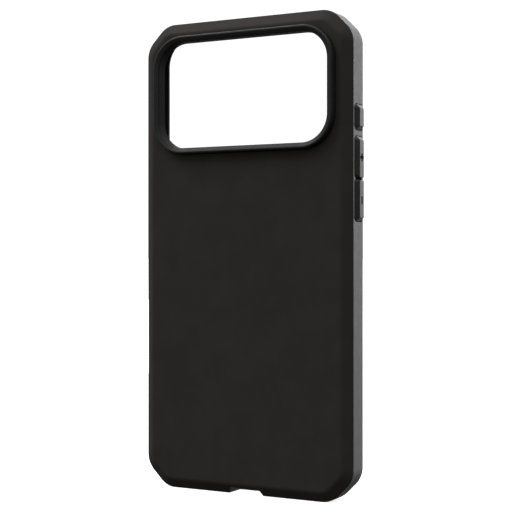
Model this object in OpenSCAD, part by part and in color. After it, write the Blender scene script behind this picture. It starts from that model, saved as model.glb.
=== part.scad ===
// Protective phone case with a magnet ring, four push keys and a raised camera ring.
// It stands upright: X runs across the back with +X on the volume key side, the back
// faces -Y, the open pocket faces +Y and Z runs up from the bottom edge.
// Depths (d) are counted from the flat outer back face towards the open pocket.

/* [Phone] */
// Width of the phone that the pocket holds
phone_w = 78; // [77:0.1:79]
// Height of the phone
phone_h = 163.4; // [162.4:0.1:164.4]
// Thickness of the phone
phone_t = 8.75; // [8.5:0.05:9]
// Corner radius of the phone
phone_corner_r = 11.6; // [11:0.1:12]
// Gap between the phone and the pocket wall
fit_gap = 0.2; // [0.1:0.05:0.3]

/* [Shell] */
// Thickness of the side walls
wall = 2; // [2:0.1:2.4]
// Thickness of the hard back plate behind the pocket
plate_t = 1.8; // [1.7:0.05:2]
// Thickness of the soft floor that the phone lies on
floor_t = 0.6; // [0.5:0.05:0.8]
// Height of the front lip above the screen
lip_h = 0.9; // [0.8:0.05:1.5]
// How far the lip reaches over the edge of the screen
lip_reach = 1.2; // [0.8:0.1:1.6]
// Width of the sloping border round the back
bevel_w = 3.5; // [3:0.1:4]
// Depth of the sloping border
bevel_d = 2.5; // [2.3:0.1:2.7]
// Length cut off each corner, along the sides
corner_cut = 8.2; // [7.5:0.1:8.4]
// Radius that rounds both ends of each corner cut
corner_r = 8.5; // [7:0.1:9]
// Radius of the front outer edge
front_r = 2.1; // [1.2:0.1:2.2]

/* [Camera window] */
// Width of the window
window_w = 67; // [65:0.2:68]
// Height of the window
window_h = 37.8; // [36:0.2:38.4]
// Corner radius of the window
window_r = 9.6; // [9:0.1:10.4]
// Height of the window's centre above the bottom edge
window_z = 141.45; // [140.5:0.05:142]
// Width of the raised rim round the window
rim_w = 2.25; // [1.8:0.05:2.5]
// How far the rim stands out from the back
rim_h = 3; // [2:0.1:3.2]
// How much lower the rim is at the window than at its crest
rim_drop = 0.7; // [0.3:0.1:1]

/* [Magnets] */
// Height of the magnet ring's centre above the bottom edge
ring_z = 75; // [72:1:80]
// Inner radius of the magnet ring
ring_r_in = 23; // [22.5:0.1:23.5]
// Outer radius of the magnet ring
ring_r_out = 27; // [26.5:0.1:27.5]
// Number of magnets in the ring
magnet_count = 18; // [12:2:24]
// Gap between neighbouring magnets, in degrees
magnet_gap = 0.8; // [0.6:0.1:1.5]
// Width of the aligning magnet
bar_w = 6; // [5:0.5:7]
// Length of the aligning magnet
bar_h = 20; // [16:1:22]

/* [Keys] */
// How far a key moves when it is pressed
key_travel = 0.4; // [0.3:0.05:0.45]
// How far a key stands out from the side wall
key_proud = 0.9; // [0.7:0.05:1]
// Depth at which the foot of a key starts
key_d0 = 3.4; // [3.2:0.1:3.6]
// Depth at which the foot of a key ends
key_d1 = 10.2; // [10:0.1:10.3]
// Length cut off each corner of a key's foot
key_cut = 1.2; // [0.8:0.1:1.4]
// Height of the action key's centre
action_z = 131.05; // [130.5:0.05:131.5]
// Length of the action key's foot
action_l = 8.7; // [8:0.1:9]
// Height of the volume up key's centre
volume_up_z = 117.4; // [117.2:0.05:117.5]
// Height of the volume down key's centre
volume_down_z = 102.8; // [102.7:0.05:102.9]
// Length of the foot of each volume key
volume_l = 14.3; // [13.8:0.1:14.3]
// Height of the side key's centre
side_key_z = 108.5; // [106:0.5:110]
// Length of the side key's foot
side_key_l = 20; // [18:0.5:22]

/* [Openings] */
// Width of the charging port notch at the bottom edge
port_w = 13.7; // [13:0.1:15]
// Width of the notch where it meets the pocket
port_top_w = 11.5; // [10.6:0.1:12]
// Height of the notch
port_h = 2.35; // [2.05:0.05:2.5]
// Height of the middle of the camera control opening
control_z = 54.4; // [52:0.2:56]
// Length of the camera control opening at the pocket wall
control_l = 26.6; // [26:0.2:29]
// Width of the camera control opening at the pocket wall
control_w = 6.4; // [6:0.1:6.8]
// Distance from the middle of the port to the middle of a speaker slot
slot_x = 19.5; // [18:0.5:21]
// Length of a speaker slot
slot_l = 14; // [10:0.5:15]
// Width of a speaker slot
slot_w = 2.2; // [1.6:0.1:2.4]

/* [Hidden] */
arc_n = 8;                       // straight stretches in each arc of an outline
skin = 0.01;                     // thickness of the sections that a hull is drawn over
slack = 0.05;                    // gap between pieces that are bonded together
pocket_w = phone_w + 2 * fit_gap;
pocket_h = phone_h + 2 * fit_gap;
pocket_r = phone_corner_r + fit_gap;
case_w = pocket_w + 2 * wall;
case_h = pocket_h + 2 * wall;
mid_z = case_h / 2;
pocket_d = plate_t + floor_t;    // depth of the floor that the phone lies on
lip_d = pocket_d + phone_t;      // depth of the screen, where the lip begins
case_d = lip_d + lip_h;          // depth of the front of the lip
mid_d = (case_d - rim_h) / 2;    // depth that lies on the Y = 0 plane
lap_w = 1.7;                     // width of the plate's rim that the bumper's wall stands on
ledge_w = 5;                     // width of the soft ledge round the pocket floor
plateau_w = 75.6;                // the phone's own camera step, which needs room in the floor
plateau_h = 47;
flange_w = 1.2;                  // width of the camera ring's flange behind the plate
flange_t = 0.8;
module_d = 0.8;                  // depth at which the magnet module starts
module_edge = 1;                 // border of the magnet carrier round the magnets
tape_t = 0.1;
cover_t = 0.1;
carrier_floor = 0.15;
bar_drop = 43.6;                 // from the ring's centre down to the aligning magnet's centre
port_d1 = 10.2;                  // depth at which the notch ends, behind the front lip
port_r = 0.6;                    // radius of the notch's top corners
cushion_t = 0.9;
cushion_turn = 76;               // angle that a corner cushion covers
cushion_d0 = 3.4;
cushion_d1 = 10.2;
key_gap = 0.2;                   // clearance round a key in its opening
retainer_t = 0.5;
retainer_edge = 0.7;             // how far the retainer reaches past the key's foot
retainer_lift = 0.05;            // play in front of the retainer and behind it
key_seat = retainer_t + key_travel + 2 * retainer_lift;   // depth of the recess for it
peg_r = 0.75;
mark_l = 2.6;                    // length of the strokes of the plus and minus marks
mark_w = 1;                      // and the width of the strokes
mark_deep = 0.2;
face_d0 = 6;                     // the flat outer face of a key lies between these depths
face_d1 = 9.2;
face_inset = 1.3;                // how far the face stays back from an end of the foot
near_inset = 0.4;                // the same at an end that another key is close to
control_flare_z = 2.8;           // how much each end of the camera control opening flares out
control_flare_d = 1.9;           // and each of its long sides

// ---- outlines ----

function arc(x, y, r, a0, a1) =
    [for (i = [0:arc_n]) [x + r * cos(a0 + (a1 - a0) * i / arc_n),
                          y + r * sin(a0 + (a1 - a0) * i / arc_n)]];

// Rectangle with round corners, about its own centre.
function round_rect(w, h, r) = concat(
    arc(w / 2 - r, h / 2 - r, r, 0, 90),
    arc(r - w / 2, h / 2 - r, r, 90, 180),
    arc(r - w / 2, r - h / 2, r, 180, 270),
    arc(w / 2 - r, r - h / 2, r, 270, 360));

// Rectangle with its corners cut at 45 degrees by c, and both ends of each cut rounded by r.
function cut_rect(w, h, c, r) =
    let (t = c + r * tan(22.5), x0 = w / 2 - r, x1 = w / 2 - t, y0 = h / 2 - r, y1 = h / 2 - t)
    concat(
        arc(x0, y1, r, 0, 45), arc(x1, y0, r, 45, 90),
        arc(-x1, y0, r, 90, 135), arc(-x0, y1, r, 135, 180),
        arc(-x0, -y1, r, 180, 225), arc(-x1, -y0, r, 225, 270),
        arc(x1, -y0, r, 270, 315), arc(x0, -y1, r, 315, 360));

// Outline of the case, moved inwards by inset.
function shell_outline(inset) = cut_rect(
    case_w - 2 * inset, case_h - 2 * inset,
    corner_cut - inset * (2 - sqrt(2)), corner_r - inset);

// Foot of a key: a rectangle with its corners cut off square at 45 degrees.
function key_outline(w, l, c) = [
    [w / 2, c - l / 2], [w / 2, l / 2 - c], [w / 2 - c, l / 2], [c - w / 2, l / 2],
    [-w / 2, l / 2 - c], [-w / 2, c - l / 2], [c - w / 2, -l / 2], [w / 2 - c, -l / 2]];

// ---- frames to draw in ----

// Draws (across, up, depth) as (X, Z, Y).
module upright() {
    translate([0, -mid_d, 0])
        rotate([90, 0, 0])
            mirror([0, 0, 1])
                children();
}

// Draws (depth, up, outwards) on the +X side, or on the -X side with side = -1.
module on_side(side, x) {
    mirror([side < 0 ? 1 : 0, 0, 0])
        translate([x, -mid_d, 0])
            rotate([90, 0, 90])
                children();
}

// A flat slab of the given outline between two depths, about height z.
module slab(outline, d0, d1, z) {
    translate([0, z, d0])
        linear_extrude(d1 - d0)
            polygon(outline);
}

// A solid through sections of the case's outline, each given as [depth, inset], in order.
module shell_solid(sections) {
    n = len(shell_outline(0));
    last = len(sections) - 1;
    points = [for (s = sections) for (p = shell_outline(s[1])) [p[0], p[1] + mid_z, s[0]]];
    sides = [for (k = [0:last - 1]) for (i = [0:n - 1])
        [k * n + i, (k + 1) * n + i, (k + 1) * n + (i + 1) % n, k * n + (i + 1) % n]];
    back = [for (i = [0:n - 1]) i];
    front = [for (i = [n - 1:-1:0]) last * n + i];
    polyhedron(points, concat([back], sides, [front]));
}

// ---- cuts that more than one piece shares ----

// The notch for the charging plug, with round top corners. Its slanting sides run on below
// the bottom edge.
module port_cut() {
    spread = (port_w - port_top_w) / 2;
    slant = atan(spread / port_h);
    x = port_top_w / 2 - port_r * tan((90 - slant) / 2);
    translate([0, 0, -1])
        linear_extrude(port_d1 + 1)
            polygon(concat(
                [[-port_w / 2 - spread, -port_h], [port_w / 2 + spread, -port_h]],
                arc(x, port_h - port_r, port_r, slant, 90),
                arc(-x, port_h - port_r, port_r, 90, 180 - slant)));
}

module speaker_cuts() {
    mid = (pocket_d + lip_d) / 2;
    for (side = [-1, 1])
        for (end = [-1, 1])
            half_slot(side * slot_x + end * (slot_l - slot_w) / 2, side * slot_x, mid);
}

// Half of a round-ended slot through the bottom wall.
module half_slot(end_x, mid_x, d) {
    x0 = min(end_x, mid_x);
    x1 = max(end_x, mid_x);
    translate([end_x, -1, d])
        rotate([-90, 0, 0])
            cylinder(h = wall + 2, d = slot_w, $fn = 32);
    translate([x0, -1, d - slot_w / 2])
        cube([x1 - x0, wall + 2, slot_w]);
}

// The flared opening that leaves the camera control free, on the -X side.
module control_cut() {
    hull() {
        control_section(pocket_w / 2 - 0.5, control_w, control_l);
        control_section(case_w / 2 + 0.3, control_w + 2 * control_flare_d,
                        control_l + 2 * control_flare_z);
    }
}

module control_section(x, w, l) {
    on_side(-1, x)
        translate([(key_d0 + key_d1) / 2, control_z])
            linear_extrude(skin)
                square([w, l], center = true);
}

module key_opening(side, z, l) {
    on_side(side, pocket_w / 2 - 1)
        translate([(key_d0 + key_d1) / 2, z])
            linear_extrude(wall + 2)
                polygon(key_outline(key_d1 - key_d0 + 2 * key_gap, l + 2 * key_gap, key_cut));
}

// Recess behind a key for its retainer. below and above are the retainer's reach at each end.
module retainer_seat(side, z, l, below, above) {
    on_side(side, pocket_w / 2 - 1)
        translate([key_d0 - retainer_edge - key_gap, z - l / 2 - below - key_gap, 0])
            cube([key_d1 - key_d0 + 2 * (retainer_edge + key_gap),
                  l + below + above + 2 * key_gap, key_seat + 1]);
}

// ---- fixed pieces ----

module back_plate() {
    color([0.15, 0.14, 0.135])
        difference() {
            upright()
                difference() {
                    shell_solid([[0, bevel_w], [bevel_d, 0]]);
                    slab(shell_outline(lap_w), plate_t, bevel_d + 1, mid_z);
                    slab(ring_outline(slack), -1, plate_t + 1, window_z);
                    slab(ring_outline(flange_w + slack), plate_t - flange_t - slack, plate_t + 1, window_z);
                    module_shape(slack, module_d, plate_t + 1);
                    port_cut();
                }
            control_cut();
        }
}

module bumper_frame() {
    edge = [for (a = [0:22.5:90])
        [case_d - front_r * (1 - sin(a)), front_r * (1 - cos(a))]];
    color([0.2, 0.2, 0.2])
        difference() {
            upright()
                difference() {
                    union() {
                        shell_solid(concat([[bevel_d, 0]], edge));
                        slab(shell_outline(lap_w + slack), plate_t, bevel_d + 1, mid_z);
                    }
                    slab(round_rect(pocket_w, pocket_h, pocket_r), pocket_d, lip_d, mid_z);
                    slab(round_rect(pocket_w - 2 * (lip_reach + fit_gap),
                                    pocket_h - 2 * (lip_reach + fit_gap),
                                    pocket_r - lip_reach), lip_d - 1, case_d + 1, mid_z);
                    floor_opening();
                    slab(round_rect(plateau_w, plateau_h, window_r), 0, lip_d, window_z);
                    for (corner = [1:4])
                        cushion_shape(corner, slack);
                    port_cut();
                    speaker_cuts();
                }
            control_cut();
            key_opening(1, action_z, action_l);
            retainer_seat(1, action_z, action_l, retainer_edge, retainer_edge);
            key_opening(1, volume_up_z, volume_l);
            retainer_seat(1, volume_up_z, volume_l, 0, retainer_edge);
            key_opening(1, volume_down_z, volume_l);
            retainer_seat(1, volume_down_z, volume_l, retainer_edge, 0);
            key_opening(-1, side_key_z, side_key_l);
            retainer_seat(-1, side_key_z, side_key_l, retainer_edge, retainer_edge);
        }
}

function window_outline(grow) = round_rect(
    window_w + 2 * grow, window_h + 2 * grow, window_r + grow);

function ring_outline(grow) = window_outline(rim_w + grow);

// The rim's crest is near its outer edge, and from there it slopes down to the window.
module camera_ring() {
    soft = 0.7;
    crest = rim_w - soft;
    color([0.24, 0.235, 0.24])
        upright()
            difference() {
                union() {
                    hull() {
                        slab(ring_outline(-soft), -rim_h, skin - rim_h, window_z);
                        slab(ring_outline(0), soft - rim_h, plate_t, window_z);
                    }
                    slab(ring_outline(flange_w), plate_t - flange_t, plate_t, window_z);
                }
                slab(window_outline(0), -rim_h, plate_t + 1, window_z);
                hull() {
                    slab(window_outline(crest), -rim_h - skin, skin - rim_h, window_z);
                    slab(window_outline(0), rim_drop - rim_h, rim_drop - rim_h + skin, window_z);
                }
            }
}

// Opening in the bumper's ledge that the floor pad fills.
floor_w = pocket_w - 2 * ledge_w;
floor_z0 = wall + ledge_w;
floor_z1 = window_z - plateau_h / 2 - 2;
floor_r = pocket_r - ledge_w;

module floor_opening() {
    slab(round_rect(floor_w, floor_z1 - floor_z0, floor_r), 0, lip_d, (floor_z0 + floor_z1) / 2);
}

module floor_pad() {
    color([0.17, 0.17, 0.17])
        upright()
            slab(round_rect(floor_w - 2 * slack, floor_z1 - floor_z0 - 2 * slack, floor_r - slack),
                 plate_t, pocket_d, (floor_z0 + floor_z1) / 2);
}

// A curved pad in one corner of the pocket wall, made larger by grow. Corners count from the
// top on the +X side, anticlockwise as seen from the back.
module cushion_shape(corner, grow) {
    a = corner * 90 - 45;
    x = pocket_w / 2 - pocket_r;
    z = pocket_h / 2 - pocket_r;
    half = cushion_turn / 2 + grow * 5;
    outer = arc(0, 0, pocket_r + cushion_t + grow, a - half, a + half);
    inner = arc(0, 0, pocket_r - grow, a + half, a - half);
    translate([sign(cos(a)) * x, mid_z + sign(sin(a)) * z, cushion_d0 - grow])
        linear_extrude(cushion_d1 - cushion_d0 + 2 * grow)
            polygon(concat(outer, inner));
}

module corner_cushion(corner) {
    color([0.3, 0.3, 0.31])
        upright()
            cushion_shape(corner, 0);
}

// ---- magnet module ----

// Ring with a tail that carries the aligning magnet.
module module_shape(grow, d0, d1) {
    tail_w = bar_w + 2 * module_edge + 2 * grow;
    tail_h = bar_drop + bar_h / 2 + module_edge + grow - ring_r_in;
    translate([0, ring_z, d0])
        difference() {
            union() {
                cylinder(h = d1 - d0, r = ring_r_out + module_edge + grow, $fn = 96);
                translate([-tail_w / 2, -ring_r_in - tail_h, 0])
                    cube([tail_w, tail_h, d1 - d0]);
            }
            translate([0, 0, -1])
                cylinder(h = d1 - d0 + 2, r = ring_r_in - module_edge - grow, $fn = 96);
        }
}

module align_shape(grow, d0, d1) {
    translate([-bar_w / 2 - grow, ring_z - bar_drop - bar_h / 2 - grow, d0])
        cube([bar_w + 2 * grow, bar_h + 2 * grow, d1 - d0]);
}

magnet_d0 = module_d + tape_t + carrier_floor;
magnet_d1 = plate_t - cover_t;

module magnet_tape() {
    color([0.75, 0.72, 0.62])
        upright()
            module_shape(0, module_d, module_d + tape_t);
}

module magnet_carrier() {
    color([0.8, 0.8, 0.78])
        upright()
            difference() {
                module_shape(0, module_d + tape_t, magnet_d1);
                translate([0, ring_z, magnet_d0])
                    difference() {
                        cylinder(h = 2, r = ring_r_out + slack, $fn = 96);
                        translate([0, 0, -1])
                            cylinder(h = 4, r = ring_r_in - slack, $fn = 96);
                    }
                align_shape(slack, magnet_d0, magnet_d1 + 1);
            }
}

module ring_magnets() {
    step = 360 / magnet_count;
    color([0.7, 0.7, 0.72])
        upright()
            translate([0, ring_z, magnet_d0])
                for (i = [0:magnet_count - 1])
                    rotate([0, 0, i * step])
                        rotate_extrude(angle = step - magnet_gap, $fn = 96)
                            translate([ring_r_in, 0])
                                square([ring_r_out - ring_r_in, magnet_d1 - magnet_d0]);
}

module align_magnet() {
    color([0.7, 0.7, 0.72])
        upright()
            align_shape(0, magnet_d0, magnet_d1);
}

module magnet_cover() {
    color([0.1, 0.1, 0.1])
        upright()
            module_shape(0, magnet_d1, plate_t);
}

// ---- keys ----

peg_spread = 0.3;                // pegs stand this share of the foot's length from its middle
cap_x = pocket_w / 2 + key_seat - retainer_lift;   // where a key's cap meets its retainer

module key_mark(mark) {
    if (mark != "none")
        cube([mark_w, mark_l, 2 * mark_deep], center = true);
    if (mark == "plus")
        cube([mark_l, mark_w, 2 * mark_deep], center = true);
}

module pegs(l, r, h) {
    for (end = [-1, 1])
        translate([0, end * peg_spread * l, 0])
            cylinder(h = h, r = r, $fn = 32);
}

// The part of a key that shows: a straight foot in the wall and a bevelled head outside it.
// low_inset and high_inset are how far the face stays back from the ends of the foot.
module key_cap(side, z, l, mark, low_inset, high_inset) {
    w = key_d1 - key_d0;
    foot_h = case_w / 2 - cap_x;
    face_w = face_d1 - face_d0;
    face_mid = (face_d0 + face_d1 - key_d0 - key_d1) / 2;
    color([0.22, 0.22, 0.225])
        on_side(side, cap_x)
            translate([(key_d0 + key_d1) / 2, z]) {
                linear_extrude(foot_h)
                    polygon(key_outline(w, l, key_cut));
                difference() {
                    hull() {
                        translate([0, 0, foot_h])
                            linear_extrude(skin)
                                polygon(key_outline(w, l, key_cut));
                        translate([face_mid - face_w / 2, low_inset - l / 2, foot_h + key_proud - skin])
                            linear_extrude(skin)
                                square([face_w, l - low_inset - high_inset]);
                    }
                    translate([face_mid, 0, foot_h + key_proud])
                        key_mark(mark);
                }
                translate([0, 0, -retainer_t])
                    pegs(l, peg_r, retainer_t);
            }
}

// The plate behind the wall that keeps a key in and presses on the phone's own button.
module key_retainer(side, z, l, below, above) {
    color([0.12, 0.12, 0.12])
        on_side(side, cap_x - retainer_t)
            difference() {
                translate([key_d0 - retainer_edge, z - l / 2 - below, 0])
                    cube([key_d1 - key_d0 + 2 * retainer_edge, l + below + above, retainer_t]);
                translate([(key_d0 + key_d1) / 2, z, -1])
                    pegs(l, peg_r + slack, retainer_t + 2);
            }
}

back_plate();
bumper_frame();
camera_ring();
floor_pad();
corner_cushion(1);  // corner_cushion_1
corner_cushion(2);  // corner_cushion_2
corner_cushion(3);  // corner_cushion_3
corner_cushion(4);  // corner_cushion_4
magnet_tape();
magnet_carrier();
ring_magnets();
align_magnet();
magnet_cover();
key_cap(1, action_z, action_l, "none", face_inset, face_inset);  // action_key
key_retainer(1, action_z, action_l, retainer_edge, retainer_edge);  // action_key_retainer
key_cap(1, volume_up_z, volume_l, "plus", near_inset, face_inset);  // volume_up_key
key_retainer(1, volume_up_z, volume_l, 0, retainer_edge);  // volume_up_key_retainer
key_cap(1, volume_down_z, volume_l, "minus", face_inset, near_inset);  // volume_down_key
key_retainer(1, volume_down_z, volume_l, retainer_edge, 0);  // volume_down_key_retainer
key_cap(-1, side_key_z, side_key_l, "none", face_inset, face_inset);  // side_key
key_retainer(-1, side_key_z, side_key_l, retainer_edge, retainer_edge);  // side_key_retainer
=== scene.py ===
"""Looks of an upright phone case: bevelled hard back, soft bumper, camera ring and push keys.

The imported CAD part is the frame. X runs across the back, the back faces -Y, the open pocket
faces +Y and Z is up. Depths are counted from the flat outer back face towards the pocket.
Sizes below are in millimetres and become metres where meshes are made.
"""

import math

import bmesh
import bpy
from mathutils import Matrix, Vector


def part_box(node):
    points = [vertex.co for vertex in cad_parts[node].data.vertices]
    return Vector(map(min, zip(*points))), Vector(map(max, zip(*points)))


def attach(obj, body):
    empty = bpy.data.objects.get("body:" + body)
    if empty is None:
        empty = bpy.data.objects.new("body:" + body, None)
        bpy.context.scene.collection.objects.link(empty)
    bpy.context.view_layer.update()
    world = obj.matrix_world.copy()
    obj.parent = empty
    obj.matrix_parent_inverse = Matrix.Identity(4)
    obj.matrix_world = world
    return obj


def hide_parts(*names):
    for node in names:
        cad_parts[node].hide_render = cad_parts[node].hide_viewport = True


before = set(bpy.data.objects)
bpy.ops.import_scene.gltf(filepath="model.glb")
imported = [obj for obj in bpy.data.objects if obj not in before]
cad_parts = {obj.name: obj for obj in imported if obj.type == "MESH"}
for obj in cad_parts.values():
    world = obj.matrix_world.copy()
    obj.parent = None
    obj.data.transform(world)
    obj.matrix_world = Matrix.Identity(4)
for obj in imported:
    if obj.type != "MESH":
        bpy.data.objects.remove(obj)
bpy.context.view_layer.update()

MM = 0.001


# ---- places, read from the frame ----

def box_mm(node):
    """Lowest and highest corners of a CAD node, in millimetres."""
    low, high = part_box(node)
    return [v / MM for v in low], [v / MM for v in high]


PLATE_LOW, PLATE_HIGH = box_mm("back_plate")
BUMPER_LOW, BUMPER_HIGH = box_mm("bumper_frame")
RING_LOW = box_mm("camera_ring")[0]
PAD_LOW, PAD_HIGH = box_mm("floor_pad")

BACK_Y = PLATE_LOW[1]
CASE_W = PLATE_HIGH[0] - PLATE_LOW[0]
CASE_H = PLATE_HIGH[2] - PLATE_LOW[2]
CASE_D = BUMPER_HIGH[1] - BACK_Y
BEVEL_D = PLATE_HIGH[1] - BACK_Y
PLATE_T = BUMPER_LOW[1] - BACK_Y
POCKET_D = PAD_HIGH[1] - BACK_Y
RIM_H = BACK_Y - RING_LOW[1]
MID_Z = CASE_H / 2

# ---- sizes that the frame doesn't give ----

# Shell: walls, lip, sloping border and the corners cut at 45 degrees.
WALL = 2.0
LIP_D = 11.15
LIP_REACH = 1.4
POCKET_R = 11.8
BEVEL_W = 3.5
CORNER_CUT = 8.2
CORNER_R = 8.5
FRONT_R = 2.1
LAP_W = 1.7
SLACK = 0.05

# Camera window, its raised rim, the flange that holds the rim and the raised floor round it.
WINDOW_W = 67.0
WINDOW_H = 37.8
WINDOW_R = 9.6
WINDOW_Z = 141.45
RIM_W = 2.25
RIM_DROP = 0.7
FLANGE_W = 1.2
FLANGE_T = 0.8
PLATEAU_W = 75.6
PLATEAU_H = 47.0

# Keys: foot and face between two depths, then the seat and plate behind the wall.
KEY_D0 = 3.4
KEY_D1 = 10.2
KEY_MID = (KEY_D0 + KEY_D1) / 2
KEY_CUT = 1.2
KEY_GAP = 0.2
FACE_D0 = 6.0
FACE_D1 = 9.2
FACE_CUT = 0.25
FACE_INSET = 1.3
NEAR_INSET = 0.4
SEAT_DEEP = 1.0
SEAT_EDGE = 0.7
RETAINER_T = 0.5
RETAINER_CUT = 0.5
MARK_L = 2.6
MARK_W = 1.0
MARK_DEEP = 0.2

# Port notch and speaker slots in the bottom wall, and the flared opening on the -X side.
PORT_W = 13.7
PORT_TOP_W = 11.5
PORT_H = 2.35
PORT_R = 0.6
PORT_D1 = 10.2
SLOT_X = 19.5
SLOT_L = 14.0
SLOT_W = 2.2
CONTROL_Z = 54.4
CONTROL_L = 26.6
CONTROL_W = 6.4
CONTROL_CUT = 1.6
CONTROL_FLARE_Z = 2.8
CONTROL_FLARE_D = 1.9

# Part of the floor pad over the magnets that stays plain: a ring and a bar below it.
RING_Z = 75.0
PLAIN_R_IN = 22.0
PLAIN_R_OUT = 28.0
PLAIN_BAR_W = 8.0
PLAIN_BAR_H = 22.0
PLAIN_BAR_DROP = 43.6

# Corner radius of the hole in the bumper's floor that the pad lies in.
PAD_HOLE_R = POCKET_R - 5

# Crush pads in the pocket's corners.
CUSHION_T = 0.9
CUSHION_TURN = 76.0
CUSHION_D0 = 3.4
CUSHION_D1 = 10.2

# Straight stretches in each arc of an outline, and in the rounding of the front edge.
ARC_STEPS = 10
FRONT_STEPS = 8

# How far a cutter reaches past the surface that it cuts.
BEYOND = 1


# ---- camera ----

def add_camera():
    """A long, level lens at half the case's height, to the right of the back."""
    azimuth = math.radians(28.63)
    distance = 446.32
    shift_right = 4.58
    right = Vector((math.cos(azimuth), math.sin(azimuth), 0))
    away = Vector((math.sin(azimuth), -math.cos(azimuth), 0))
    data = bpy.data.cameras.new("camera")
    data.lens = 89.6
    data.sensor_width = 36.0
    data.clip_start = 0.01
    camera = bpy.data.objects.new("camera", data)
    camera.location = (away * distance + right * shift_right + Vector((0, BACK_Y, MID_Z))) * MM
    camera.rotation_euler = (math.radians(90), 0, azimuth)
    bpy.context.scene.collection.objects.link(camera)
    bpy.context.scene.camera = camera


add_camera()


# ---- outlines: lists of (across, up) points, all with the same number of points ----

def arc(x, z, r, a0, a1):
    step = (a1 - a0) / ARC_STEPS
    angles = [math.radians(a0 + step * i) for i in range(ARC_STEPS + 1)]
    return [(x + r * math.cos(a), z + r * math.sin(a)) for a in angles]


def case_outline(inset):
    """The case's outline moved inwards: corners cut at 45 degrees, both ends rounded."""
    half_w = CASE_W / 2 - inset
    half_h = CASE_H / 2 - inset
    cut = CORNER_CUT - inset * (2 - math.sqrt(2))
    r = CORNER_R - inset
    t = cut + r * math.tan(math.radians(22.5))
    x0, x1, z0, z1 = half_w - r, half_w - t, half_h - r, half_h - t
    points = (arc(x0, z1, r, 0, 45) + arc(x1, z0, r, 45, 90)
              + arc(-x1, z0, r, 90, 135) + arc(-x0, z1, r, 135, 180)
              + arc(-x0, -z1, r, 180, 225) + arc(-x1, -z0, r, 225, 270)
              + arc(x1, -z0, r, 270, 315) + arc(x0, -z1, r, 315, 360))
    return [(x, z + MID_Z) for x, z in points]


def round_outline(w, h, r, mid_z=MID_Z):
    """Rectangle with round corners, with two arcs to a corner as case_outline has."""
    points = []
    for k in range(8):
        a0 = 45 * k
        mid = math.radians(a0 + 22.5)
        x = math.copysign(w / 2 - r, math.cos(mid))
        z = math.copysign(h / 2 - r, math.sin(mid))
        points += arc(x, z, r, a0, a0 + 45)
    return [(x, z + mid_z) for x, z in points]


def pocket_outline(inset):
    return round_outline(CASE_W - 2 * (WALL + inset), CASE_H - 2 * (WALL + inset),
                         POCKET_R - inset)


def ring_outline(grow):
    """The camera window's outline moved outwards by grow."""
    return round_outline(WINDOW_W + 2 * grow, WINDOW_H + 2 * grow, WINDOW_R + grow, WINDOW_Z)


def fillet(a, corner, b, steps=5):
    """Points on a smooth bend from a to b round a corner, each an (inset, depth) pair."""
    points = []
    for i in range(steps + 1):
        t = i / steps
        points.append(tuple(
            (1 - t) ** 2 * a[k] + 2 * t * (1 - t) * corner[k] + t ** 2 * b[k] for k in range(2)))
    return points


# ---- mesh tools ----

def upright(point, depth):
    """(across, up) and a depth, in millimetres, as a place in the frame in metres."""
    return Vector((point[0], BACK_Y + depth, point[1])) * MM


def new_piece(name, bm):
    bmesh.ops.remove_doubles(bm, verts=bm.verts, dist=1e-7)
    bmesh.ops.dissolve_degenerate(bm, edges=bm.edges, dist=1e-7)
    bmesh.ops.recalc_face_normals(bm, faces=bm.faces)
    mesh = bpy.data.meshes.new(name)
    bm.to_mesh(mesh)
    bm.free()
    obj = bpy.data.objects.new(name, mesh)
    bpy.context.scene.collection.objects.link(obj)
    return obj


def skin(bm, rows, ring=False):
    """Faces between rows of vertices, closed by end faces, or into a ring from last to first."""
    pairs = list(zip(rows, rows[1:]))
    if ring:
        pairs.append((rows[-1], rows[0]))
    else:
        bm.faces.new(rows[0])
        bm.faces.new(rows[-1])
    for low, high in pairs:
        for i in range(len(low)):
            j = (i + 1) % len(low)
            bm.faces.new((low[i], low[j], high[j], high[i]))


def loft(name, loops, ring=False):
    """A closed solid through loops of (outline, depth)."""
    bm = bmesh.new()
    rows = [[bm.verts.new(upright(p, depth)) for p in outline] for outline, depth in loops]
    skin(bm, rows, ring)
    return new_piece(name, bm)


def prism(name, outline, d0, d1):
    return loft(name, [(outline, d0), (outline, d1)])


def side_loft(name, side, loops):
    """A closed solid through loops of ((depth, up) points, x) on the +X or the -X side."""
    bm = bmesh.new()
    rows = [[bm.verts.new(Vector((side * x, BACK_Y + d, z)) * MM) for d, z in points]
            for points, x in loops]
    skin(bm, rows)
    return new_piece(name, bm)


def apply_modifiers(obj):
    graph = bpy.context.evaluated_depsgraph_get()
    mesh = bpy.data.meshes.new_from_object(obj.evaluated_get(graph))
    old = obj.data
    obj.modifiers.clear()
    obj.data = mesh
    bpy.data.meshes.remove(old)


def cut(obj, cutters):
    """Takes each cutter away from obj, and removes the cutters."""
    for cutter in cutters:
        boolean = obj.modifiers.new("cut", "BOOLEAN")
        boolean.operation = "DIFFERENCE"
        boolean.solver = "EXACT"
        boolean.object = cutter
        bpy.context.view_layer.update()
        apply_modifiers(obj)
        bpy.data.objects.remove(cutter)


def soften(obj, width, angle=38):
    """Rounds the sharp edges by width millimetres and smooths the shading between flat faces."""
    bevel = obj.modifiers.new("soften", "BEVEL")
    bevel.width = width * MM
    bevel.segments = 2
    bevel.limit_method = "ANGLE"
    bevel.angle_limit = math.radians(angle)
    bevel.use_clamp_overlap = True
    bevel.miter_outer = "MITER_ARC"
    bpy.context.view_layer.update()
    apply_modifiers(obj)
    smooth(obj)


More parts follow.
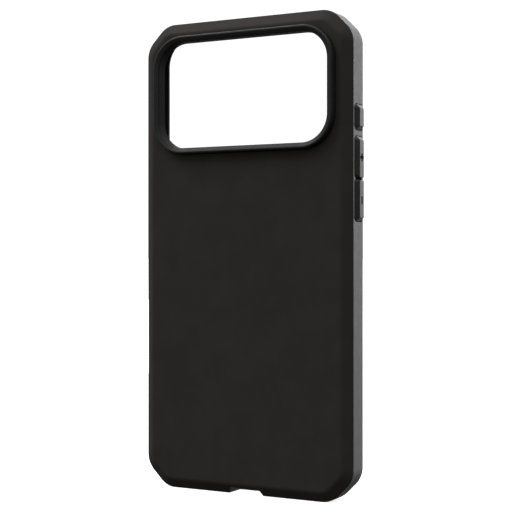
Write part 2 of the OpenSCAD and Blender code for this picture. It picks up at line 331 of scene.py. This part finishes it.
def smooth(obj, angle=40):
    """Smooth shading that stays sharp at edges over angle degrees and flat on flat faces."""
    for polygon in obj.data.polygons:
        polygon.use_smooth = True
    obj.data.set_sharp_from_angle(angle=math.radians(angle))
    weighted = obj.modifiers.new("flat faces stay flat", "WEIGHTED_NORMAL")
    weighted.keep_sharp = True
    weighted.weight = 100
    bpy.context.view_layer.update()
    apply_modifiers(obj)


# ---- materials ----

def new_material(name, colour, roughness, specular=0.5):
    material = bpy.data.materials.new(name)
    material.use_nodes = True
    shader = material.node_tree.nodes["Principled BSDF"]
    shader.inputs["Base Color"].default_value = (*colour, 1)
    shader.inputs["Roughness"].default_value = roughness
    shader.inputs["Specular IOR Level"].default_value = specular
    return material, material.node_tree, shader


def noise(tree, size, detail=2.0, roughness=0.5):
    """Noise whose lumps are about size millimetres across."""
    place = tree.nodes.new("ShaderNodeTexCoord")
    texture = tree.nodes.new("ShaderNodeTexNoise")
    texture.inputs["Scale"].default_value = 1 / (size * MM)
    texture.inputs["Detail"].default_value = detail
    texture.inputs["Roughness"].default_value = roughness
    tree.links.new(place.outputs["Object"], texture.inputs["Vector"])
    return texture.outputs["Fac"]


def span(tree, value, low, high):
    """Maps the middle of a noise onto low to high."""
    node = tree.nodes.new("ShaderNodeMapRange")
    node.inputs["From Min"].default_value = 0.3
    node.inputs["From Max"].default_value = 0.7
    node.inputs["To Min"].default_value = low
    node.inputs["To Max"].default_value = high
    tree.links.new(value, node.inputs["Value"])
    return node.outputs["Result"]


def blend_colours(tree, factor, colour_a, colour_b):
    mix = tree.nodes.new("ShaderNodeMix")
    mix.data_type = "RGBA"
    mix.inputs["A"].default_value = (*colour_a, 1)
    mix.inputs["B"].default_value = (*colour_b, 1)
    tree.links.new(factor, mix.inputs["Factor"])
    return mix.outputs["Result"]


def bump(tree, shader, heights):
    """Chains bumps, each given as (height value, strength, depth in millimetres)."""
    normal = None
    for height, strength, deep in heights:
        node = tree.nodes.new("ShaderNodeBump")
        node.inputs["Strength"].default_value = strength
        node.inputs["Distance"].default_value = deep * MM
        tree.links.new(height, node.inputs["Height"])
        if normal:
            tree.links.new(normal, node.inputs["Normal"])
        normal = node.outputs["Normal"]
    tree.links.new(normal, shader.inputs["Normal"])


def moulded(name, dark, light, roughness, specular, grain, grain_deep):
    """Moulded plastic or rubber: a fine eroded grain, faint mottling and uneven gloss.

    grain is the size of the grain and grain_deep its depth, in millimetres.
    """
    material, tree, shader = new_material(name, light, roughness, specular)
    mottle = span(tree, noise(tree, 9.0, 3.0), 0.0, 1.0)
    tree.links.new(blend_colours(tree, mottle, dark, light), shader.inputs["Base Color"])
    gloss = span(tree, noise(tree, 1.3, 4.0, 0.6), roughness - 0.04, roughness + 0.04)
    tree.links.new(gloss, shader.inputs["Roughness"])
    fine = noise(tree, grain, 2.0, 0.6)
    broad = noise(tree, grain * 4, 2.0, 0.5)
    bump(tree, shader, [(fine, 0.5, grain_deep), (broad, 0.25, grain_deep)])
    return material


HARD_SHELL = moulded("hard_shell", (0.0295, 0.0276, 0.026), (0.0345, 0.0326, 0.0305),
                     roughness=0.5, specular=0.08, grain=0.16, grain_deep=0.006)
SOFT_BUMPER = moulded("soft_bumper", (0.018, 0.0175, 0.0175), (0.024, 0.0235, 0.0235),
                      roughness=0.5, specular=0.5, grain=0.12, grain_deep=0.005)
RING_PLASTIC = moulded("ring_plastic", (0.017, 0.0165, 0.0165), (0.02, 0.0195, 0.0195),
                       roughness=0.38, specular=0.18, grain=0.1, grain_deep=0.003)
# A darker, rougher copy of the ring plastic for the wall round the window: the extra darkness is
# painted shade in the recess, the roughness is real.
RING_BORE_PAINTED_SHADE = moulded("ring_bore_painted_shade", (0.005, 0.005, 0.005), (0.007, 0.007, 0.007),
                    roughness=0.7, specular=0.05, grain=0.1, grain_deep=0.003)
KEY_PLASTIC = moulded("key_plastic", (0.018, 0.0175, 0.0175), (0.023, 0.0225, 0.0225),
                      roughness=0.32, specular=0.14, grain=0.1, grain_deep=0.003)
PAD_RUBBER = moulded("pad_rubber", (0.018, 0.018, 0.0185), (0.026, 0.026, 0.027),
                     roughness=0.7, specular=0.35, grain=0.2, grain_deep=0.012)
CUSHION_RUBBER = moulded("cushion_rubber", (0.035, 0.035, 0.037), (0.05, 0.05, 0.053),
                         roughness=0.65, specular=0.4, grain=0.2, grain_deep=0.01)
RETAINER_PLASTIC = moulded("retainer_plastic", (0.03, 0.03, 0.031), (0.04, 0.04, 0.042),
                           roughness=0.45, specular=0.5, grain=0.15, grain_deep=0.004)
CARRIER_PLASTIC = moulded("carrier_plastic", (0.6, 0.6, 0.58), (0.68, 0.68, 0.66),
                          roughness=0.4, specular=0.5, grain=0.2, grain_deep=0.004)
TAPE = moulded("tape", (0.5, 0.46, 0.36), (0.6, 0.56, 0.45),
               roughness=0.75, specular=0.3, grain=0.3, grain_deep=0.02)
COVER_FILM = moulded("cover_film", (0.02, 0.02, 0.02), (0.03, 0.03, 0.031),
                     roughness=0.25, specular=0.5, grain=0.4, grain_deep=0.003)
# Near-black fill laid at the bottom of the keys' mark pockets.
MARK_DARK_FILL = moulded("mark_dark_fill", (0.002, 0.002, 0.002), (0.004, 0.004, 0.004),
                   roughness=0.7, specular=0.1, grain=0.1, grain_deep=0.004)


def nickel_plate():
    """Bright plating with faint tumbling marks."""
    material, tree, shader = new_material("magnet_plating", (0.62, 0.6, 0.56), 0.3)
    shader.inputs["Metallic"].default_value = 1.0
    scuffs = span(tree, noise(tree, 0.6, 6.0, 0.7), 0.22, 0.4)
    tree.links.new(scuffs, shader.inputs["Roughness"])
    bump(tree, shader, [(noise(tree, 0.25, 3.0), 0.3, 0.004)])
    return material


MAGNET_PLATING = nickel_plate()


def finish_piece(obj, material, slot, body, *nodes):
    """Gives a piece its material, lets it ride on its body and stand for its nodes. The slot is
    not used.
    """
    obj.data.materials.clear()
    obj.data.materials.append(material)
    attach(obj, body)
    if nodes:
        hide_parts(*nodes)


# ---- cutters that more than one piece needs ----

def port_cutter():
    """The plug's notch, with round top corners."""
    spread = (PORT_W - PORT_TOP_W) / 2
    slant = math.degrees(math.atan(spread / PORT_H))
    x = PORT_TOP_W / 2 - PORT_R * math.tan(math.radians((90 - slant) / 2))
    z = PORT_H - PORT_R
    outline = [(-PORT_W / 2 - spread, -PORT_H), (PORT_W / 2 + spread, -PORT_H)]
    outline += arc(x, z, PORT_R, slant, 90) + arc(-x, z, PORT_R, 90, 180 - slant)
    return prism("port_cutter", outline, -BEYOND, PORT_D1)


def key_foot(mid_z, length, grow=0.0, cut_off=KEY_CUT, mid_d=KEY_MID, width=KEY_D1 - KEY_D0):
    """(depth, up) points of a key's foot: a rectangle with its corners cut off."""
    w = width / 2 + grow
    h = length / 2 + grow
    points = [(w, cut_off - h), (w, h - cut_off), (w - cut_off, h), (cut_off - w, h),
              (-w, h - cut_off), (-w, cut_off - h), (cut_off - w, -h), (w - cut_off, -h)]
    return [(mid_d + d, mid_z + z) for d, z in points]


def control_cutter():
    """The opening on the -X side, wider at the outside than at the pocket."""
    inner = CASE_W / 2 - WALL - 0.5
    outer = CASE_W / 2 + 0.3
    flare_cut = CONTROL_CUT * 1.6
    loops = [(key_foot(CONTROL_Z, CONTROL_L, 0, CONTROL_CUT, KEY_MID, CONTROL_W), inner),
             (key_foot(CONTROL_Z, CONTROL_L + 2 * CONTROL_FLARE_Z, 0, flare_cut, KEY_MID,
                       CONTROL_W + 2 * CONTROL_FLARE_D), outer)]
    return side_loft("control_cutter", -1, loops)


# ---- pieces ----

def make_back_plate():
    """The hard back: a soft crease round the flat, a slope, and a thin upright edge."""
    slope = (BEVEL_W, BEVEL_D)
    length = math.hypot(*slope)
    along = (slope[0] / length, slope[1] / length)
    crease = 0.9
    edge = 0.55
    land = BEVEL_D - 0.12
    land_end = BEVEL_D - 0.08
    foot_inset = 0.1
    profile = fillet((BEVEL_W + crease, 0), (BEVEL_W, 0),
                     (BEVEL_W - crease * along[0], crease * along[1]))
    profile += fillet((edge * along[0], BEVEL_D - edge * along[1] - 0.12), (0, land),
                      (0, land_end), 4)
    profile += [(foot_inset, BEVEL_D), (LAP_W, BEVEL_D), (LAP_W, PLATE_T)]
    plate = loft("back_shell", [(case_outline(inset), depth) for inset, depth in profile])
    cutters = [
        prism("window", ring_outline(RIM_W + SLACK), -BEYOND, PLATE_T + BEYOND),
        prism("flange", ring_outline(RIM_W + FLANGE_W + SLACK),
              PLATE_T - FLANGE_T - SLACK, PLATE_T + BEYOND),
        port_cutter(),
        control_cutter(),
    ]
    cut(plate, cutters)
    soften(plate, 0.12)
    finish_piece(plate, HARD_SHELL, "hard_shell", "shell", "back_plate")


def key_cutters(side, mid_z, length, below, above):
    """The opening for a key and the seat for its retainer, with its reach at either end."""
    inner = CASE_W / 2 - WALL
    mouth = key_foot(mid_z, length, KEY_GAP)
    opening = side_loft("opening", side, [(mouth, inner - BEYOND), (mouth, inner + WALL + BEYOND)])
    d0 = KEY_D0 - SEAT_EDGE - KEY_GAP
    d1 = KEY_D1 + SEAT_EDGE + KEY_GAP
    z0 = mid_z - length / 2 - below - KEY_GAP
    z1 = mid_z + length / 2 + above + KEY_GAP
    square = [(d0, z0), (d1, z0), (d1, z1), (d0, z1)]
    seat = side_loft("seat", side, [(square, inner - BEYOND), (square, inner + SEAT_DEEP)])
    return [opening, seat]


def slot_cutter(mid_x):
    """A round-ended slot through the bottom wall."""
    mid_d = (POCKET_D + LIP_D) / 2
    bm = bmesh.new()
    steps = 12
    points = []
    for end in (1, -1):
        for i in range(steps + 1):
            a = math.pi * (i / steps - 0.5)
            points.append((mid_x + end * ((SLOT_L - SLOT_W) / 2 + SLOT_W / 2 * math.cos(a)),
                           mid_d + end * SLOT_W / 2 * math.sin(a)))
    rows = [[bm.verts.new(Vector((x, BACK_Y + d, z)) * MM) for x, d in points]
            for z in (-BEYOND, WALL + BEYOND)]
    skin(bm, rows)
    return new_piece("slot_cutter", bm)


def cushion_centre(corner):
    """Middle of a pocket corner's arc, and its bearing. Corners count from the top at +X."""
    middle = corner * 90 - 45
    x = math.copysign(CASE_W / 2 - WALL - POCKET_R, math.cos(math.radians(middle)))
    z = MID_Z + math.copysign(CASE_H / 2 - WALL - POCKET_R, math.sin(math.radians(middle)))
    return x, z, middle


def cushion_outline(corner, grow):
    """Curved band in a corner of the pocket."""
    x, z, middle = cushion_centre(corner)
    half = CUSHION_TURN / 2 + grow * 5
    return (arc(x, z, POCKET_R + CUSHION_T + grow, middle - half, middle + half)
            + arc(x, z, POCKET_R - grow, middle + half, middle - half))


def make_bumper():
    """The bumper: a lap under the back plate, the side wall, the rounded front and the lip."""
    seam = 0.18
    lip_soft = 0.3
    lip_step = 0.25
    floor_bend = 0.4
    floor_cut = 6
    top = CASE_D - FRONT_R
    loops = [(case_outline(LAP_W + SLACK), PLATE_T), (case_outline(LAP_W + SLACK), BEVEL_D)]
    loops += [(case_outline(i), d) for i, d in
              fillet((seam, BEVEL_D), (0, BEVEL_D), (0, BEVEL_D + seam), 3)]
    for k in range(FRONT_STEPS + 1):
        a = math.radians(90 * k / FRONT_STEPS)
        loops.append((case_outline(FRONT_R * (1 - math.cos(a))), top + FRONT_R * math.sin(a)))
    loops += [(pocket_outline(i), d) for i, d in
              fillet((LIP_REACH - lip_soft, CASE_D), (LIP_REACH, CASE_D),
                     (LIP_REACH, CASE_D - lip_soft), 4)]
    loops += [(pocket_outline(LIP_REACH), LIP_D + lip_step),
              (pocket_outline(LIP_REACH - lip_step), LIP_D), (pocket_outline(0), LIP_D)]
    loops += [(pocket_outline(i), d) for i, d in
              fillet((0, POCKET_D + floor_bend), (0, POCKET_D), (floor_bend, POCKET_D), 4)]
    bumper = loft("bumper", loops)
    pad_w = PAD_HIGH[0] - PAD_LOW[0] + 2 * SLACK
    pad_h = PAD_HIGH[2] - PAD_LOW[2] + 2 * SLACK
    pad_mid = (PAD_HIGH[2] + PAD_LOW[2]) / 2
    cutters = [
        prism("pad_hole", round_outline(pad_w, pad_h, PAD_HOLE_R, pad_mid), 0, floor_cut),
        prism("plateau", round_outline(PLATEAU_W, PLATEAU_H, WINDOW_R, WINDOW_Z), 0, floor_cut),
        port_cutter(), slot_cutter(-SLOT_X), slot_cutter(SLOT_X), control_cutter()]
    cutters += [prism("cushion_seat", cushion_outline(corner, SLACK),
                      CUSHION_D0 - SLACK, CUSHION_D1 + SLACK) for corner in (1, 2, 3, 4)]
    for key in KEYS:
        cutters += key_cutters(key["side"], key["z"], key["length"], key["below"], key["above"])
    cut(bumper, cutters)
    soften(bumper, 0.1)
    finish_piece(bumper, SOFT_BUMPER, "soft_bumper", "shell", "bumper_frame")


def make_camera_ring():
    """The ring round the window: crowned near its outer edge, sloping in to the window."""
    soft = 0.8
    brink = 0.35
    chamfer = 0.1
    crown = RIM_W - soft
    crown_end = crown + 0.1
    inner_h = RIM_H - RIM_DROP
    profile = [(0, PLATE_T - chamfer), (0, brink - inner_h)]
    profile += fillet((0, brink - inner_h), (0, -inner_h), (0.3, -inner_h - 0.18), 4)
    profile += fillet((crown - 0.25, 0.12 - RIM_H), (crown, -RIM_H), (crown_end, -RIM_H), 3)
    profile += fillet((crown_end, -RIM_H), (RIM_W, -RIM_H), (RIM_W, soft - RIM_H), 6)
    profile += [(RIM_W, PLATE_T - FLANGE_T), (RIM_W + FLANGE_W, PLATE_T - FLANGE_T),
                (RIM_W + FLANGE_W, PLATE_T - chamfer), (RIM_W + FLANGE_W - chamfer, PLATE_T),
                (chamfer, PLATE_T)]
    ring = loft("camera_rim", [(ring_outline(grow), depth) for grow, depth in profile], ring=True)
    smooth(ring)
    finish_piece(ring, RING_PLASTIC, "ring_plastic", "shell", "camera_ring")
    ring.data.materials.append(RING_BORE_PAINTED_SHADE)
    # The upright wall round the window gets a darker, rougher copy of the ring plastic: its darker
    # colour is painted shade in the recess.
    for face in ring.data.polygons:
        middle = Vector((face.center.x, face.center.z)) - Vector((0, WINDOW_Z * MM))
        outwards = Vector((face.normal.x, face.normal.z)).dot(middle)
        if abs(face.normal.y) < 0.3 and outwards < 0:
            face.material_index = 1


def make_floor_pad():
    """A thin pad with honeycomb cells pressed into it, plain over the magnets."""
    pad_w = PAD_HIGH[0] - PAD_LOW[0]
    pad_h = PAD_HIGH[2] - PAD_LOW[2]
    mid_z = (PAD_HIGH[2] + PAD_LOW[2]) / 2
    edge_r = PAD_HOLE_R - SLACK
    soft = 0.15
    pad = loft("pocket_pad", [
        (round_outline(pad_w, pad_h, edge_r, mid_z), PLATE_T),
        (round_outline(pad_w, pad_h, edge_r, mid_z), POCKET_D - soft),
        (round_outline(pad_w - 2 * soft, pad_h - 2 * soft, edge_r - soft, mid_z), POCKET_D)])
    pitch = 5.2
    cell_r = 2.55
    taper = 0.86
    deep = 0.3
    above = 0.1
    bm = bmesh.new()
    rows = int(pad_h / (pitch * math.sqrt(3) / 2))
    columns = int(pad_w / pitch)
    for row in range(-rows // 2, rows // 2 + 1):
        for column in range(-columns // 2, columns // 2 + 1):
            x = (column + (row % 2) / 2) * pitch
            z = mid_z + row * pitch * math.sqrt(3) / 2
            if not cell_is_free(x, z, cell_r, pad_w, pad_h, mid_z):
                continue
            corners = [(x + cell_r * math.sin(math.radians(60 * k)),
                        z + cell_r * math.cos(math.radians(60 * k))) for k in range(6)]
            floor = [bm.verts.new(upright((x + (px - x) * taper, z + (pz - z) * taper),
                                          POCKET_D - deep))
                     for px, pz in corners]
            mouth = [bm.verts.new(upright(p, POCKET_D + above)) for p in corners]
            skin(bm, [floor, mouth])
    cut(pad, [new_piece("cells", bm)])
    smooth(pad, 25)
    finish_piece(pad, PAD_RUBBER, "pad_rubber", "shell", "floor_pad")


def cell_is_free(x, z, r, pad_w, pad_h, mid_z):
    """True where a cell lies inside the pad's border and clear of the magnet ring and bar."""
    border = 2.0
    if abs(x) > pad_w / 2 - r - border or abs(z - mid_z) > pad_h / 2 - r - border:
        return False
    corner = 9.0
    cx = abs(x) - (pad_w / 2 - corner)
    cz = abs(z - mid_z) - (pad_h / 2 - corner)
    if cx > 0 and cz > 0 and math.hypot(cx, cz) > corner - r - border:
        return False
    from_ring = math.hypot(x, z - RING_Z)
    if PLAIN_R_IN - r < from_ring < PLAIN_R_OUT + r:
        return False
    bar_top = RING_Z - PLAIN_R_OUT
    bar_low = RING_Z - PLAIN_BAR_DROP - PLAIN_BAR_H / 2
    return not (abs(x) < PLAIN_BAR_W / 2 + r and bar_low - r < z < bar_top + r)


def make_cushion(corner):
    """A curved pad with upright grooves that let it crush."""
    pad = prism(f"corner_pad_{corner}", cushion_outline(corner, 0), CUSHION_D0, CUSHION_D1)
    x, z, middle = cushion_centre(corner)
    grooves = 7
    end_wall = 0.8
    near_half = 0.4
    deep_half = 0.22
    cutters = []
    for k in range(grooves):
        a = math.radians(middle + (k - (grooves - 1) / 2) * CUSHION_TURN / (grooves + 0.5))
        out = Vector((math.cos(a), math.sin(a)))
        along = Vector((-out.y, out.x))
        centre = Vector((x, z))
        near = centre + out * (POCKET_R - 0.3)
        deep = centre + out * (POCKET_R + 0.5)
        section = [near - along * near_half, deep - along * deep_half,
                   deep + along * deep_half, near + along * near_half]
        cutters.append(prism("groove", [tuple(p) for p in section],
                             CUSHION_D0 + end_wall, CUSHION_D1 - end_wall))
    cut(pad, cutters)
    soften(pad, 0.08)
    finish_piece(pad, CUSHION_RUBBER, "cushion_rubber", "shell", f"corner_cushion_{corner}")


# ---- keys ----

def key_entry(name, side, mark, low_inset=FACE_INSET, high_inset=FACE_INSET):
    """A key's place and length from its CAD cap and retainer, and its face's insets."""
    low, high = box_mm(name)
    back_low, back_high = box_mm(name + "_retainer")
    return {"name": name, "side": side, "mark": mark,
            "z": (low[2] + high[2]) / 2, "length": high[2] - low[2],
            "below": low[2] - back_low[2], "above": back_high[2] - high[2],
            "low_inset": low_inset, "high_inset": high_inset,
            "inner_x": abs(back_low[0] if side > 0 else back_high[0]),
            "outer_x": abs(high[0] if side > 0 else low[0])}


KEYS = [
    key_entry("action_key", 1, "none"),
    key_entry("volume_up_key", 1, "plus", low_inset=NEAR_INSET),
    key_entry("volume_down_key", 1, "minus", high_inset=NEAR_INSET),
    key_entry("side_key", -1, "none"),
]
BODY_OF_KEY = {
    "action_key": "action_button", "volume_up_key": "volume_up_button",
    "volume_down_key": "volume_down_button", "side_key": "side_button"}


def mark_bars(mark, grow):
    """The strokes of a mark, as (half depth-wise, half up) sizes."""
    long = MARK_L / 2 + grow
    thin = MARK_W / 2 + grow
    bars = []
    if mark != "none":
        bars.append((thin, long))
    if mark == "plus":
        bars.append((long, thin))
    return bars


def mark_solids(key, grow, x0, x1):
    mid_d = (FACE_D0 + FACE_D1) / 2
    solids = []
    for half_d, half_z in mark_bars(key["mark"], grow):
        points = [(mid_d - half_d, key["z"] - half_z), (mid_d + half_d, key["z"] - half_z),
                  (mid_d + half_d, key["z"] + half_z), (mid_d - half_d, key["z"] + half_z)]
        solids.append(side_loft("mark", key["side"], [(points, x0), (points, x1)]))
    return solids


def make_key(key):
    """A key's cap, with a near-black fill laid at the bottom of the pockets of its mark cut into
    the face.
    """
    side = key["side"]
    length = key["length"]
    face_x = key["outer_x"]
    wall_x = CASE_W / 2
    cap_x = key["inner_x"] + RETAINER_T
    face_l = length - key["low_inset"] - key["high_inset"]
    face_z = key["z"] + (key["low_inset"] - key["high_inset"]) / 2
    face_w = FACE_D1 - FACE_D0
    foot = key_foot(key["z"], length)
    head = key_foot(face_z, face_l, 0, FACE_CUT, (FACE_D0 + FACE_D1) / 2, face_w)
    cap = side_loft(key["name"] + "_cap", side, [(foot, cap_x), (foot, wall_x), (head, face_x)])
    mark_x = face_x - MARK_DEEP
    dark_fill_t = 0.06
    cut(cap, mark_solids(key, 0, mark_x, face_x + BEYOND))
    soften(cap, 0.14, 12)
    finish_piece(cap, KEY_PLASTIC, "key_plastic", BODY_OF_KEY[key["name"]], key["name"])
    # A thin near-black fill at the bottom of each pocket of the mark.
    for number, dark_fill in enumerate(mark_solids(key, -0.02, mark_x, mark_x + dark_fill_t)):
        dark_fill.name = f"{key['name']}_mark_{number + 1}"
        finish_piece(dark_fill, MARK_DARK_FILL, "key_plastic", BODY_OF_KEY[key["name"]])


def make_retainer(key):
    """The plate behind the wall, with a dimple over each of the key's two pegs."""
    side = key["side"]
    z0 = key["z"] - key["length"] / 2 - key["below"]
    z1 = key["z"] + key["length"] / 2 + key["above"]
    d0 = KEY_D0 - SEAT_EDGE
    d1 = KEY_D1 + SEAT_EDGE
    outline = key_foot((z0 + z1) / 2, z1 - z0, 0, RETAINER_CUT, (d0 + d1) / 2, d1 - d0)
    inner_x = key["inner_x"]
    plate = side_loft(key["name"] + "_clip", side,
                      [(outline, inner_x), (outline, inner_x + RETAINER_T)])
    dimple_r = 0.95
    dimple_deep = 0.12
    peg_place = 0.3
    dimples = []
    for end in (-1, 1):
        ring = [(KEY_MID + dimple_r * math.cos(math.radians(15 * k)),
                 key["z"] + end * peg_place * key["length"]
                 + dimple_r * math.sin(math.radians(15 * k)))
                for k in range(24)]
        dimples.append(side_loft("dimple", side,
                                 [(ring, inner_x - BEYOND), (ring, inner_x + dimple_deep)]))
    cut(plate, dimples)
    soften(plate, 0.08)
    finish_piece(plate, RETAINER_PLASTIC, "retainer_plastic", BODY_OF_KEY[key["name"]],
                 key["name"] + "_retainer")


# ---- everything together ----

def finish_hidden_nodes():
    """The magnet module's own pieces keep their CAD shapes and get finished materials."""
    finishes = {"magnet_tape": TAPE, "magnet_carrier": CARRIER_PLASTIC, "magnet_cover": COVER_FILM,
                "ring_magnets": MAGNET_PLATING, "align_magnet": MAGNET_PLATING}
    for node, material in finishes.items():
        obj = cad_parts[node]
        obj.data.materials.clear()
        obj.data.materials.append(material)


make_back_plate()
make_bumper()
make_camera_ring()
make_floor_pad()
for corner_number in (1, 2, 3, 4):
    make_cushion(corner_number)
for push_key in KEYS:
    make_key(push_key)
    make_retainer(push_key)
finish_hidden_nodes()


# ---- studio ----

# (direction from -1 to 1, brightness) stops for the light that comes from each way.
ROOM_HEIGHT = [(-1, 0.0), (-0.4, 0.12), (0, 0.4), (0.4, 0.6), (0.7, 0.9), (1, 1.5)]
ROOM_SIDE = [(-1, 2.4), (-0.75, 1.0), (0, 1.0), (0.5, 1.5), (0.7, 1.4), (0.9, 0.4), (1, 0.2)]
BACKDROP_SIDE = [(-1, 0), (0.55, 0.0), (0.7, 0.3), (0.85, 1.15), (1, 1.15)]
BACKDROP_HEIGHT = [(-1, 0.0), (-0.6, 0.0), (-0.46, 0.12), (-0.34, 0.42), (-0.14, 0.96),
                   (0, 1.5), (0.16, 2.4), (0.4, 1.7), (1, 1.5)]
SEEN_BRIGHTNESS = 1.1
FLOOR_HALF = 30.0
LIGHT_TARGET = (0, 0, 0.084)


def add_floor():
    """A white floor that glows a little and meets the backdrop with no edge.

    It is seen by the camera only, and neither lights the case nor shows in its gloss.
    """
    bm = bmesh.new()
    bmesh.ops.create_grid(bm, x_segments=8, y_segments=8, size=FLOOR_HALF)
    floor = new_piece("floor", bm)
    floor.visible_diffuse = False
    floor.visible_glossy = False
    material, tree, shader = new_material("floor", (0.92, 0.92, 0.92), 0.9, 0.0)
    mottle = span(tree, noise(tree, 400.0), 0.0, 1.0)
    tree.links.new(blend_colours(tree, mottle, (0.9, 0.9, 0.9), (0.93, 0.93, 0.93)),
                   shader.inputs["Base Color"])
    shader.inputs["Emission Color"].default_value = (1, 1, 1, 1)
    shader.inputs["Emission Strength"].default_value = 0.8
    floor.data.materials.append(material)


def add_area_light(name, place, target, size, power):
    data = bpy.data.lights.new(name, "AREA")
    data.shape = "RECTANGLE"
    data.size, data.size_y = size
    data.energy = power
    light = bpy.data.objects.new(name, data)
    light.location = place
    light.rotation_euler = (Vector(target) - Vector(place)).to_track_quat("-Z", "Y").to_euler()
    bpy.context.scene.collection.objects.link(light)


def ramp(tree, value, stops):
    """A smooth scale from the given (place, brightness) stops, for a value from -1 to 1."""
    node = tree.nodes.new("ShaderNodeFloatCurve")
    curve = node.mapping.curves[0]
    top = max(stop[1] for stop in stops)
    for number, (place, brightness) in enumerate(stops):
        # A new curve already has two points.
        if number < 2:
            curve.points[number].location = ((place + 1) / 2, brightness / top)
        else:
            curve.points.new((place + 1) / 2, brightness / top)
    node.mapping.update()
    halved = tree.nodes.new("ShaderNodeMath")
    halved.operation = "MULTIPLY_ADD"
    halved.inputs[1].default_value = 0.5
    halved.inputs[2].default_value = 0.5
    tree.links.new(value, halved.inputs[0])
    tree.links.new(halved.outputs["Value"], node.inputs["Value"])
    scaled = tree.nodes.new("ShaderNodeMath")
    scaled.operation = "MULTIPLY"
    scaled.inputs[1].default_value = top
    tree.links.new(node.outputs["Value"], scaled.inputs[0])
    return scaled.outputs["Value"]


def combine(tree, operation, a, b):
    node = tree.nodes.new("ShaderNodeMath")
    node.operation = operation
    tree.links.new(a, node.inputs[0])
    tree.links.new(b, node.inputs[1])
    return node.outputs["Value"]


def add_world():
    """A room brighter overhead, a backdrop behind the open side, and white where it is seen."""
    world = bpy.data.worlds.new("studio")
    world.use_nodes = True
    tree = world.node_tree
    place = tree.nodes.new("ShaderNodeTexCoord")
    split = tree.nodes.new("ShaderNodeSeparateXYZ")
    tree.links.new(place.outputs["Generated"], split.inputs["Vector"])
    room_height = ramp(tree, split.outputs["Z"], ROOM_HEIGHT)
    room_side = ramp(tree, split.outputs["X"], ROOM_SIDE)
    room = combine(tree, "MULTIPLY", room_height, room_side)
    backdrop_side = ramp(tree, split.outputs["Y"], BACKDROP_SIDE)
    backdrop_height = ramp(tree, split.outputs["Z"], BACKDROP_HEIGHT)
    backdrop = combine(tree, "MULTIPLY", backdrop_side, backdrop_height)
    light = combine(tree, "ADD", room, backdrop)
    seen = tree.nodes.new("ShaderNodeLightPath")
    mix = tree.nodes.new("ShaderNodeMix")
    tree.links.new(seen.outputs["Is Camera Ray"], mix.inputs["Factor"])
    tree.links.new(light, mix.inputs["A"])
    mix.inputs["B"].default_value = SEEN_BRIGHTNESS
    background = tree.nodes["Background"]
    background.inputs["Color"].default_value = (1, 1, 1, 1)
    tree.links.new(mix.outputs["Result"], background.inputs["Strength"])
    bpy.context.scene.world = world


add_floor()
add_world()
add_area_light("key_softbox", (-2.6, -2.2, 3.9), LIGHT_TARGET, (2.8, 2.8), 110.0)
add_area_light("edge_softbox", (-1.3, 1.4, 1.9), LIGHT_TARGET, (1.0, 1.0), 10.0)
bpy.context.scene.view_settings.view_transform = "Standard"
